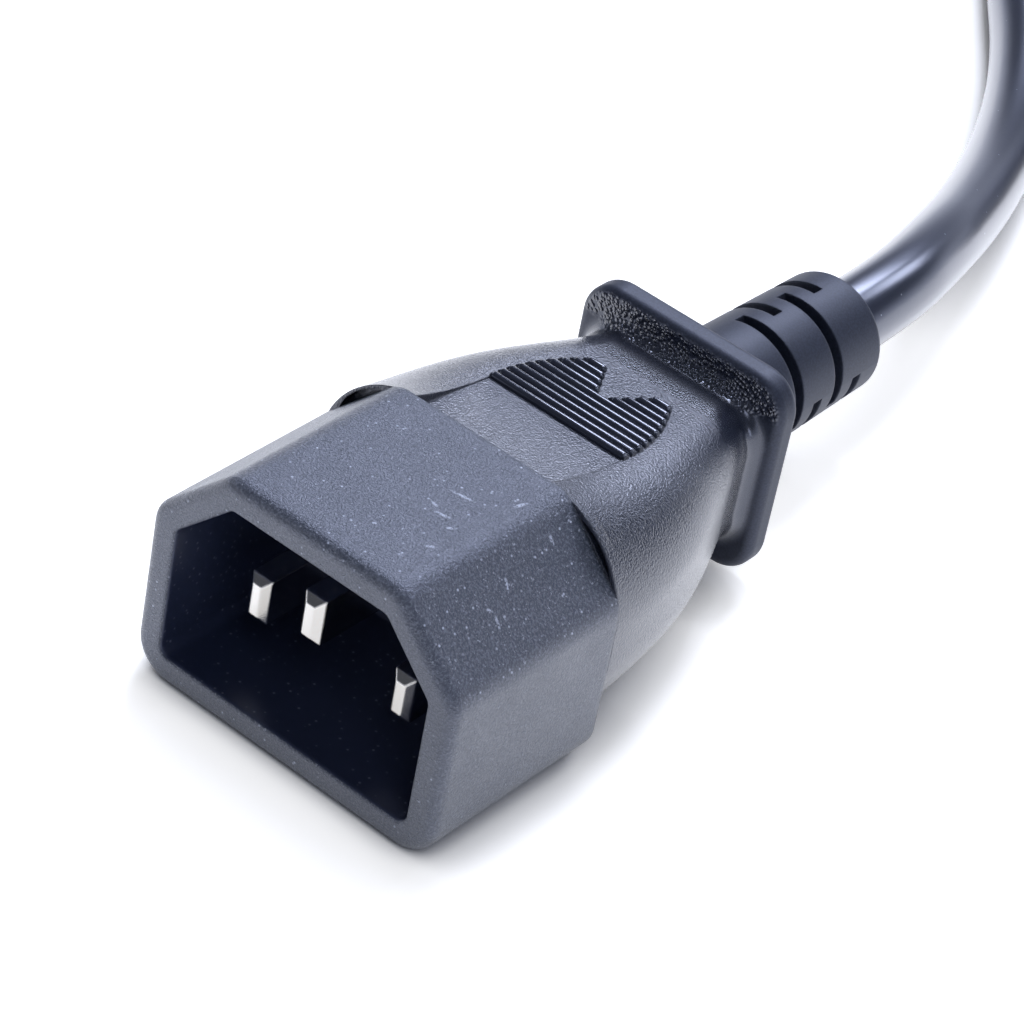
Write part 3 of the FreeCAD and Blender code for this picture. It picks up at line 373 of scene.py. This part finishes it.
def grip_zones(tree, place):
    """Masks of the zones of both overmoulds; each rises smoothly from its start to its end."""
    axes = add(tree, "ShaderNodeSeparateXYZ", {"Vector": place}).outputs
    root = GRIP_LOW.y + FLANGE_FRONT * MM
    relief = SOCKET_HIGH.y - RELIEF_LENGTH * MM
    stretches = {
        "plug_grip": ("Y", root - 1.4 * MM, root - 7.0 * MM),
        "past_plug": ("Y", GRIP_HIGH.y, SOCKET_LOW.y),
        "before_relief": ("Y", relief, relief - 1.6 * MM),
        "near_flange": ("Y", root - 1.1 * MM, root - 0.6 * MM),
        "before_flange": ("Y", root + 0.25 * MM, root - 0.05 * MM),
        "upper_flange": ("Z", 16.4 * MM, 17.4 * MM),
        "behind": ("Y", root - 0.3 * MM, root + 0.1 * MM),
    }
    masks = {}
    for zone, (axis, start, end) in stretches.items():
        masks[zone] = add(tree, "ShaderNodeMapRange", {
            "Value": axes[axis], "From Min": start, "From Max": end,
        }, interpolation_type="SMOOTHSTEP").outputs[0]
    return masks


def leather_grained_pvc(finish):
    """Soft moulded PVC: pebbled like leather on the grips, gritty on the flange's front, satin behind it."""
    material, tree, place = start_material("leather_grained_pvc")
    zones = grip_zones(tree, place)
    behind = zones["behind"]
    socket_grip = join_masks(tree, [zones["past_plug"], zones["before_relief"]], "MULTIPLY")
    pebbled = join_masks(tree, [zones["plug_grip"], socket_grip], "MAXIMUM")
    gritty = [zones["near_flange"], zones["before_flange"], zones["upper_flange"]]
    gritty = join_masks(tree, gritty, "MULTIPLY")
    grain = add(tree, "ShaderNodeTexNoise", {
        "Vector": place, "Scale": per_metre(0.17), "Detail": 1.0,
    }).outputs[0]
    # Coarser than the real spark grit, so that single grains show in the picture
    cells = add(tree, "ShaderNodeTexVoronoi", {"Vector": place, "Scale": per_metre(0.34)}).outputs["Distance"]
    grit = add(tree, "ShaderNodeMapRange", {
        "Value": cells, "From Min": 0.75, "From Max": 0.05,
    }, interpolation_type="SMOOTHSTEP").outputs[0]
    tone = add(tree, "ShaderNodeMapRange", {"Value": grain, "From Min": 0.35, "From Max": 0.7}).outputs[0]
    base = add(tree, "ShaderNodeMix", {
        0: tone, MIX_A: finish.grip, MIX_B: finish.grip_high,
    }, data_type="RGBA").outputs[MIXED]
    # The grip and the grit are glossy, and what lies behind the flange's front is not
    coat = add(tree, "ShaderNodeMapRange", {"Value": behind, "To Min": 1.0, "To Max": 0.05}).outputs[0]
    coat = add(tree, "ShaderNodeMapRange", {"Value": gritty, "To Min": coat, "To Max": 1.0}).outputs[0]
    rough = add(tree, "ShaderNodeMapRange", {"Value": pebbled, "To Min": 0.18, "To Max": 0.34}).outputs[0]
    rough = add(tree, "ShaderNodeMapRange", {"Value": behind, "To Min": rough, "To Max": 0.54}).outputs[0]
    rough = add(tree, "ShaderNodeMapRange", {"Value": gritty, "To Min": rough, "To Max": 0.10}).outputs[0]
    edges = add(tree, "ShaderNodeBevel", {"Radius": 0.25 * MM}, samples=4).outputs[0]
    pebbles = add(tree, "ShaderNodeBump", {
        "Height": join_masks(tree, [grain, pebbled], "MULTIPLY"),
        "Strength": 1.0,
        "Distance": 0.075 * MM,
        "Normal": edges,
    }).outputs[0]
    bump = add(tree, "ShaderNodeBump", {
        "Height": join_masks(tree, [grit, gritty], "MULTIPLY"),
        "Strength": 1.0,
        "Distance": 0.18 * MM,
        "Normal": pebbles,
    }).outputs[0]
    return close_material(material, Base_Color=base, Roughness=rough, IOR=1.54, Specular_IOR_Level=0.7,
                          Specular_Tint=linear("#dfe6ff"), Coat_Weight=coat, Coat_Roughness=0.26, Normal=bump,
                          Coat_Normal=bump)


def polished_pvc(finish):
    """Soft PVC from a polished part of the mould: darker and glossier than the grained grip."""
    material, tree, place = start_material("polished_pvc")
    ripple = add(tree, "ShaderNodeTexNoise", {
        "Vector": place, "Scale": per_metre(0.6), "Detail": 2.0,
    }).outputs[0]
    base = add(tree, "ShaderNodeMix", {
        0: ripple, MIX_A: finish.grip, MIX_B: finish.grip_high,
    }, data_type="RGBA").outputs[MIXED]
    bump = add(tree, "ShaderNodeBump", {"Height": ripple, "Strength": 0.25, "Distance": 0.03 * MM}).outputs[0]
    return close_material(material, Base_Color=base, Roughness=0.24, IOR=1.54, Specular_IOR_Level=1.0,
                          Specular_Tint=linear("#dfe6ff"), Coat_Weight=1.0, Coat_Roughness=0.16, Normal=bump)


def extruded_pvc_jacket(finish):
    """Extruded PVC: smooth and satin, with faint long waves from the extruder and a trace of dust."""
    material, tree, place = start_material("extruded_pvc_jacket")
    waves = add(tree, "ShaderNodeTexNoise", {
        "Vector": place, "Scale": per_metre(6.0), "Detail": 3.0,
    }).outputs[0]
    skin = add(tree, "ShaderNodeTexNoise", {
        "Vector": place, "Scale": per_metre(0.5), "Detail": 3.0,
    }).outputs[0]
    cells = add(tree, "ShaderNodeTexVoronoi", {"Vector": place, "Scale": per_metre(1.6)}).outputs["Distance"]
    dust = add(tree, "ShaderNodeMapRange", {
        "Value": cells, "From Min": 0.06, "From Max": 0.03, "To Max": 0.5,
    }).outputs[0]
    tone = add(tree, "ShaderNodeMix", {
        0: waves, MIX_A: finish.jacket, MIX_B: finish.grip_high,
    }, data_type="RGBA").outputs[MIXED]
    base = add(tree, "ShaderNodeMix", {
        0: dust, MIX_A: tone, MIX_B: finish.pale_speck_and_sheen,
    }, data_type="RGBA").outputs[MIXED]
    bump = add(tree, "ShaderNodeBump", {"Height": skin, "Strength": 0.15, "Distance": 0.03 * MM}).outputs[0]
    return close_material(material, Base_Color=base, Roughness=0.28, IOR=1.54, Specular_IOR_Level=1.0,
                          Specular_Tint=linear("#d3dcff"), Coat_Weight=1.0, Coat_Roughness=0.22, Normal=bump)


def drawn_metal(name, tint, roughness, width_mm):
    """A drawn or rolled metal: bright, with soft edges and fine lines that blur the reflections a little."""
    material, tree, place = start_material(name)
    # Scale of the lines along the metal, against their scale across it
    drawn_out = 0.06
    stretched = add(tree, "ShaderNodeMapping", {"Vector": place, "Scale": (1.0, drawn_out, 1.0)}).outputs[0]
    lines = add(tree, "ShaderNodeTexNoise", {
        "Vector": stretched, "Scale": per_metre(width_mm), "Detail": 3.0,
    }).outputs[0]
    rough = add(tree, "ShaderNodeMapRange", {
        "Value": lines,
        "From Min": 0.3,
        "From Max": 0.7,
        "To Min": roughness * 0.7,
        "To Max": roughness * 1.5,
    }).outputs[0]
    # The bottoms of the lines are a little darker than the metal between them
    dull = [channel * 0.82 for channel in tint[:3]] + [1.0]
    base = add(tree, "ShaderNodeMix", {0: lines, MIX_A: dull, MIX_B: tint}, data_type="RGBA").outputs[MIXED]
    edges = add(tree, "ShaderNodeBevel", {"Radius": 0.22 * MM}, samples=4).outputs[0]
    bump = add(tree, "ShaderNodeBump", {
        "Height": lines, "Strength": 0.2, "Distance": 0.01 * MM, "Normal": edges,
    }).outputs[0]
    return close_material(material, Base_Color=base, Metallic=1.0, Roughness=rough, Normal=bump)


def core_insulation(name, tint, stripe=None):
    """Extruded core insulation: satin with a fine skin, in one colour or with a second one in stripes."""
    material, tree, place = start_material(name)
    base = tint
    if stripe:
        # Diagonal bands repeat at 0.63 of the given width, so a stripe comes about every 4.4 mm
        bands = add(tree, "ShaderNodeTexWave", {
            "Vector": place, "Scale": per_metre(7.0), "Distortion": 0.3,
        }, bands_direction="DIAGONAL").outputs[1]
        sharp = add(tree, "ShaderNodeMapRange", {
            "Value": bands, "From Min": 0.45, "From Max": 0.55,
        }).outputs[0]
        base = add(tree, "ShaderNodeMix", {
            0: sharp, MIX_A: tint, MIX_B: stripe,
        }, data_type="RGBA").outputs[MIXED]
    skin = add(tree, "ShaderNodeTexNoise", {
        "Vector": place, "Scale": per_metre(0.3), "Detail": 2.0,
    }).outputs[0]
    bump = add(tree, "ShaderNodeBump", {"Height": skin, "Strength": 0.2, "Distance": 0.02 * MM}).outputs[0]
    return close_material(material, Base_Color=base, Roughness=0.42, IOR=1.54, Normal=bump)


def woven_nylon_tape(finish):
    """Woven nylon tape: a plain weave of flat threads, matt with a soft sheen."""
    material, tree, place = start_material("woven_nylon_tape")
    # Straight bands repeat at 0.31 of the given width, so the threads lie about 1 mm apart
    threads = []
    for direction in ("Y", "X"):
        threads.append(add(tree, "ShaderNodeTexWave", {
            "Vector": place, "Scale": per_metre(3.2),
        }, bands_direction=direction).outputs[1])
    weave = join_masks(tree, threads, "MULTIPLY")
    base = add(tree, "ShaderNodeMix", {
        0: weave, MIX_A: finish.strap_low, MIX_B: finish.strap,
    }, data_type="RGBA").outputs[MIXED]
    bump = add(tree, "ShaderNodeBump", {"Height": weave, "Strength": 0.8, "Distance": 0.12 * MM}).outputs[0]
    return close_material(material, Base_Color=base, Roughness=0.85, Sheen_Weight=0.35, Normal=bump)


def ease(share):
    """A smooth step from zero to one."""
    share = min(max(share, 0.0), 1.0)
    return share * share * (3 - 2 * share)


def hank_points(cord):
    """Control points of the hank's four turns, which lie in two lanes and two layers of a long loop."""
    radius = cord.diameter / 2
    middle = (HANK_LOW.x + HANK_HIGH.x) / 2
    reach = (HANK_HIGH.x - HANK_LOW.x) / 2
    near, far = HANK_LOW.y + reach, HANK_HIGH.y - reach
    outer, inner = reach - radius, reach - 3 * radius
    low, high = HANK_LOW.z + radius, HANK_LOW.z + 3 * radius
    turns = [(outer, low), (outer, high), (inner, high), (inner, low)]
    # Parts of the right run over which a turn changes its lane or layer
    crossings = [None, (0.55, 0.90), (0.20, 0.55)]
    # Part of the near fold over which the first turn climbs instead
    climb = 0.75
    steps = round(math.pi / cord.fold_step)
    bends = [cord.fold_step * (step + 0.5) for step in range(steps)]
    # A fold's points lie outside its arc, so that the spline touches the arc between them
    bow, past = 1 / math.cos(cord.fold_step / 2), math.tan(cord.fold_step / 2)
    points = []
    for index, (lane, height) in enumerate(turns):
        points.append((middle - lane, far - lane * past, height))
        for bend in bends:
            points.append((middle - lane * bow * math.cos(bend), far + lane * bow * math.sin(bend), height))
        points.append((middle + lane, far - lane * past, height))
        if index == len(crossings):
            break
        next_lane, next_height = turns[index + 1]
        if crossings[index]:
            first, last = (far + (near - far) * part for part in crossings[index])
            points += [(middle + lane, first, height), (middle + next_lane, last, next_height)]
            height = next_height
        points.append((middle + next_lane, near + next_lane * past, height))
        for bend in bends:
            level = height + (next_height - height) * ease(bend / math.pi / climb)
            across, along = next_lane * bow * math.cos(bend), next_lane * bow * math.sin(bend)
            points.append((middle + across, near - along, level))
        points.append((middle - next_lane, near + next_lane * past, next_height))
    return points


class LEAD_OT_lay_cord(bpy.types.Operator):
    """Lay the cord from the plug through its tied hank to the socket"""

    bl_idname = "lead.lay_cord"
    bl_label = "Lay Cord"

    def execute(self, context):
        cord = context.scene.lead_cord
        points = LEAD_ROUTE + hank_points(cord) + TAIL_ROUTE
        curve = bpy.data.curves.new("cord", "CURVE")
        curve.dimensions = "3D"
        curve.bevel_depth = cord.diameter / 2
        curve.bevel_resolution = cord.sides
        curve.resolution_u = 12
        curve.use_fill_caps = True
        spline = curve.splines.new("NURBS")
        spline.points.add(len(points) - 1)
        for point, place in zip(spline.points, points):
            point.co = (*place, 1.0)
        spline.order_u = 3
        spline.use_endpoint_u = True
        curve.materials.append(extruded_pvc_jacket(context.scene.lead_finish))
        flex = bpy.data.objects.new("cord", curve)
        context.scene.collection.objects.link(flex)
        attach(flex, "root")
        own = ["cord_lead", "cord_hank", "cord_tail"]
        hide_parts(*own)
        return {"FINISHED"}


def rib_spans(ribs, along):
    """Left and right ends of the rib at a distance along the deck, split where the bare notch lies."""
    back = along - ribs.start
    half = ribs.front - ribs.bend + math.sqrt(ribs.bend ** 2 - back ** 2)
    if along < ribs.notch_start:
        return [(-half, half)]
    gap = ribs.notch_front + (along - ribs.notch_start) * math.tan(ribs.notch_flare)
    return [(-half, -gap), (gap, half)]


def add_rib(mesh, ribs, along, left, right, to_lead):
    """Adds one half-round rib with round ends to a mesh; its foot goes a little way into the deck."""
    # Faces round a rib and along a round end, and the share of half a turn that lies in the deck on each side
    around, rounded, sunk = 12, 5, 0.1
    half_width = ribs.width / 2
    sections = []
    for step in range(1, rounded + 1):
        lean = math.pi / 2 * step / rounded
        sections.append((left + half_width * (1 - math.cos(lean)), math.sin(lean)))
    sections += [(right + left - across, size) for across, size in reversed(sections)]
    rings = []
    for across, size in sections:
        ring = []
        for step in range(around + 1):
            swing = math.pi * (step / around * (1 + 2 * sunk) - sunk)
            back = along - size * half_width * math.cos(swing)
            rise = size * ribs.height * math.sin(swing)
            ring.append(mesh.verts.new(to_lead @ Vector((across, back, rise))))
        rings.append(ring)
    for ring, following in zip(rings, rings[1:]):
        for step in range(around):
            mesh.faces.new((ring[step], following[step], following[step + 1], ring[step + 1]))
    mesh.faces.new(rings[0])
    mesh.faces.new(reversed(rings[-1]))


class LEAD_OT_mould_ribs(bpy.types.Operator):
    """Mould the half-round ribs on the sloping deck of the plug's grip"""

    bl_idname = "lead.mould_ribs"
    bl_label = "Mould Ribs"

    def execute(self, context):
        ribs = context.scene.lead_ribs
        front = Vector((0, GRIP_LOW.y, SHROUD_HIGH.z - ribs.depth))
        to_lead = Matrix.Translation(front) @ Matrix.Rotation(-ribs.slope, 4, "X")
        mesh = bmesh.new()
        for index in range(ribs.count):
            along = ribs.start + ribs.pitch * index
            for left, right in rib_spans(ribs, along):
                add_rib(mesh, ribs, along, left, right, to_lead)
        bmesh.ops.recalc_face_normals(mesh, faces=mesh.faces)
        for face in mesh.faces:
            face.smooth = True
        data = bpy.data.meshes.new("grip_ribs")
        mesh.to_mesh(data)
        mesh.free()
        data.materials.append(polished_pvc(context.scene.lead_finish))
        piece = bpy.data.objects.new("grip_ribs", data)
        context.scene.collection.objects.link(piece)
        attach(piece, "root")
        return {"FINISHED"}


class LEAD_OT_finish_inserts(bpy.types.Operator):
    """Finish the plug's shroud and the socket's nose in matt polyamide"""

    bl_idname = "lead.finish_inserts"
    bl_label = "Finish Inserts"

    def execute(self, context):
        dress(spark_eroded_polyamide(context.scene.lead_finish), "plug_shroud", "socket_insert")
        return {"FINISHED"}


class LEAD_OT_finish_grips(bpy.types.Operator):
    """Finish both overmoulds in grained PVC and the jacket's ends in smooth PVC"""

    bl_idname = "lead.finish_grips"
    bl_label = "Finish Grips"

    def execute(self, context):
        finish = context.scene.lead_finish
        dress(leather_grained_pvc(finish), "plug_overmould", "socket_overmould")
        dress(extruded_pvc_jacket(finish), "plug_jacket", "socket_jacket", "cord_lead", "cord_hank",
              "cord_tail")
        return {"FINISHED"}


class LEAD_OT_finish_metals(bpy.types.Operator):
    """Finish the pins, contacts and bared strands"""

    bl_idname = "lead.finish_metals"
    bl_label = "Finish Metals"

    def execute(self, context):
        finish = context.scene.lead_finish
        poles = ("line", "neutral", "earth")
        nickel = drawn_metal("nickel_plated_brass", tuple(finish.nickel), roughness=0.12, width_mm=0.10)
        dress(nickel, *(f"plug_{pole}_pin" for pole in poles))
        brass = drawn_metal("rolled_brass_sheet", tuple(finish.brass), roughness=0.24, width_mm=0.10)
        dress(brass, *(f"socket_{pole}_contact" for pole in poles))
        copper = drawn_metal("bare_copper_strand", tuple(finish.copper), roughness=0.30, width_mm=0.20)
        dress(copper, *(f"{end}_{pole}_strands" for end in ("plug", "socket") for pole in poles))
        return {"FINISHED"}


class LEAD_OT_finish_cores(bpy.types.Operator):
    """Finish the three insulated cores in both ends"""

    bl_idname = "lead.finish_cores"
    bl_label = "Finish Cores"

    def execute(self, context):
        finish = context.scene.lead_finish
        sheaths = {
            "line": core_insulation("line_core_pvc", finish.line_core),
            "neutral": core_insulation("neutral_core_pvc", finish.neutral_core),
            "earth": core_insulation("earth_core_pvc", finish.earth_core, finish.earth_stripe),
        }
        for pole, sheath in sheaths.items():
            dress(sheath, f"plug_{pole}_core", f"socket_{pole}_core")
        return {"FINISHED"}


class LEAD_OT_wrap_tie(bpy.types.Operator):
    """Finish the tie round the hank in woven tape"""

    bl_idname = "lead.wrap_tie"
    bl_label = "Wrap Tie"

    def execute(self, context):
        dress(woven_nylon_tape(context.scene.lead_finish), "cord_tie")
        return {"FINISHED"}


def seen_directly(tree):
    """One for camera, glossy and transmission rays, which all see the white background."""
    rays = add(tree, "ShaderNodeLightPath").outputs
    kinds = [rays[f"Is {kind} Ray"] for kind in ("Camera", "Glossy", "Transmission")]
    return join_masks(tree, kinds, "MAXIMUM")


def lay_floor(context, stage):
    """A pale matt floor that reads as white and keeps the shadows."""
    half = stage.floor_size / 2
    # A hair below the lead, so that no two faces share a plane
    level = -0.02 * MM
    corners = [(-half, -half, level), (half, -half, level), (half, half, level), (-half, half, level)]
    data = bpy.data.meshes.new("floor")
    data.from_pydata(corners, [], [(0, 1, 2, 3)])
    material = bpy.data.materials.new("pale_floor")
    tree = empty_tree(material)
    matt = add(tree, "ShaderNodeBsdfDiffuse", {"Color": stage.floor})
    # Close to the lead the floor is lifted less, so that its contact shadow stays
    open_floor = add(tree, "ShaderNodeAmbientOcclusion", {"Distance": 7 * MM}).outputs["AO"]
    lift = add(tree, "ShaderNodeMapRange", {
        "Value": open_floor, "From Min": 0.3, "From Max": 0.8, "To Max": 0.72,
    }).outputs[0]
    strength = join_masks(tree, [seen_directly(tree), lift], "MULTIPLY")
    glow = add(tree, "ShaderNodeEmission", {"Strength": strength})
    both = add(tree, "ShaderNodeAddShader", {0: matt.outputs[0], 1: glow.outputs[0]})
    add(tree, "ShaderNodeOutputMaterial", {"Surface": both.outputs[0]})
    data.materials.append(material)
    floor = bpy.data.objects.new("floor", data)
    context.scene.collection.objects.link(floor)


def light_world(context):
    """A surround that is white round the horizon and dark overhead, so that gloss shows both."""
    world = bpy.data.worlds.new("studio")
    tree = empty_tree(world)
    direction = add(tree, "ShaderNodeTexCoord").outputs["Generated"]
    height = add(tree, "ShaderNodeSeparateXYZ", {"Vector": direction}).outputs["Z"]
    strength = add(tree, "ShaderNodeMapRange", {
        "Value": height, "From Min": 0.06, "From Max": 0.30, "To Min": 1.0, "To Max": 0.10,
    }, interpolation_type="SMOOTHSTEP").outputs[0]
    surround = add(tree, "ShaderNodeBackground", {"Color": linear(COOL_WHITE), "Strength": strength})
    add(tree, "ShaderNodeOutputWorld", {"Surface": surround.outputs[0]})
    context.scene.world = world


def hang_softbox(context, name, place, side, brightness):
    """A square soft light that faces the plug; brightness is that of its own face."""
    data = bpy.data.lights.new(name, "AREA")
    data.size = side
    data.energy = brightness * math.pi * side * side
    data.color = linear(COOL_WHITE)[:3]
    light = bpy.data.objects.new(name, data)
    light.location = place
    light.rotation_euler = (-Vector(place)).to_track_quat("-Z", "Y").to_euler()
    context.scene.collection.objects.link(light)


def place_camera(context, stage):
    """The camera, turned round its target and tilted about its own axis."""
    turn, rise = stage.azimuth, stage.elevation
    back = Vector((math.sin(turn) * math.cos(rise), -math.cos(turn) * math.cos(rise), math.sin(rise)))
    right = Vector((math.cos(turn), math.sin(turn), 0))
    axes = Matrix((right, back.cross(right), back)).transposed().to_4x4()
    data = bpy.data.cameras.new("camera")
    data.lens = stage.lens
    data.sensor_width = 36
    data.clip_start = 0.01
    camera = bpy.data.objects.new("camera", data)
    stand = Matrix.Translation(Vector(stage.target) + back * stage.distance)
    camera.matrix_world = stand @ axes @ Matrix.Rotation(stage.roll, 4, "Z")
    context.scene.collection.objects.link(camera)
    context.scene.camera = camera


class LEAD_OT_set_stage(bpy.types.Operator):
    """Set the pale floor, the soft lights and the camera"""

    bl_idname = "lead.set_stage"
    bl_label = "Set Stage"

    def execute(self, context):
        stage = context.scene.lead_stage
        context.scene.view_settings.view_transform = "Standard"
        lay_floor(context, stage)
        light_world(context)
        for name, (place, side, brightness) in SOFTBOXES.items():
            hang_softbox(context, name, place, side, brightness)
        place_camera(context, stage)
        return {"FINISHED"}


class LEAD_PT_panel(bpy.types.Panel):
    """Lists the steps that dress the lead"""

    bl_label = "Extension Lead"
    bl_idname = "LEAD_PT_panel"
    bl_space_type = "VIEW_3D"
    bl_region_type = "UI"
    bl_category = "Lead"

    def draw(self, context):
        for step in STEPS:
            self.layout.operator(step.bl_idname)


SETTINGS = {
    "lead_cord": LeadCordSettings,
    "lead_ribs": LeadRibSettings,
    "lead_finish": LeadFinishSettings,
    "lead_stage": LeadStageSettings,
}
STEPS = (
    LEAD_OT_lay_cord,
    LEAD_OT_mould_ribs,
    LEAD_OT_finish_inserts,
    LEAD_OT_finish_grips,
    LEAD_OT_finish_metals,
    LEAD_OT_finish_cores,
    LEAD_OT_wrap_tie,
    LEAD_OT_set_stage,
)


def register():
    """Registers the settings, the steps and the panel."""
    for name, group in SETTINGS.items():
        bpy.utils.register_class(group)
        setattr(bpy.types.Scene, name, PointerProperty(type=group))
    for step in (*STEPS, LEAD_PT_panel):
        bpy.utils.register_class(step)


def unregister():
    """Takes away what register added."""
    for step in reversed((*STEPS, LEAD_PT_panel)):
        bpy.utils.unregister_class(step)
    for name, group in SETTINGS.items():
        delattr(bpy.types.Scene, name)
        bpy.utils.unregister_class(group)


def main():
    """Runs every step in order."""
    register()
    bpy.ops.lead.lay_cord()
    bpy.ops.lead.mould_ribs()
    bpy.ops.lead.finish_inserts()
    bpy.ops.lead.finish_grips()
    bpy.ops.lead.finish_metals()
    bpy.ops.lead.finish_cores()
    bpy.ops.lead.wrap_tie()
    bpy.ops.lead.set_stage()


if __name__ == "__main__":
    main()
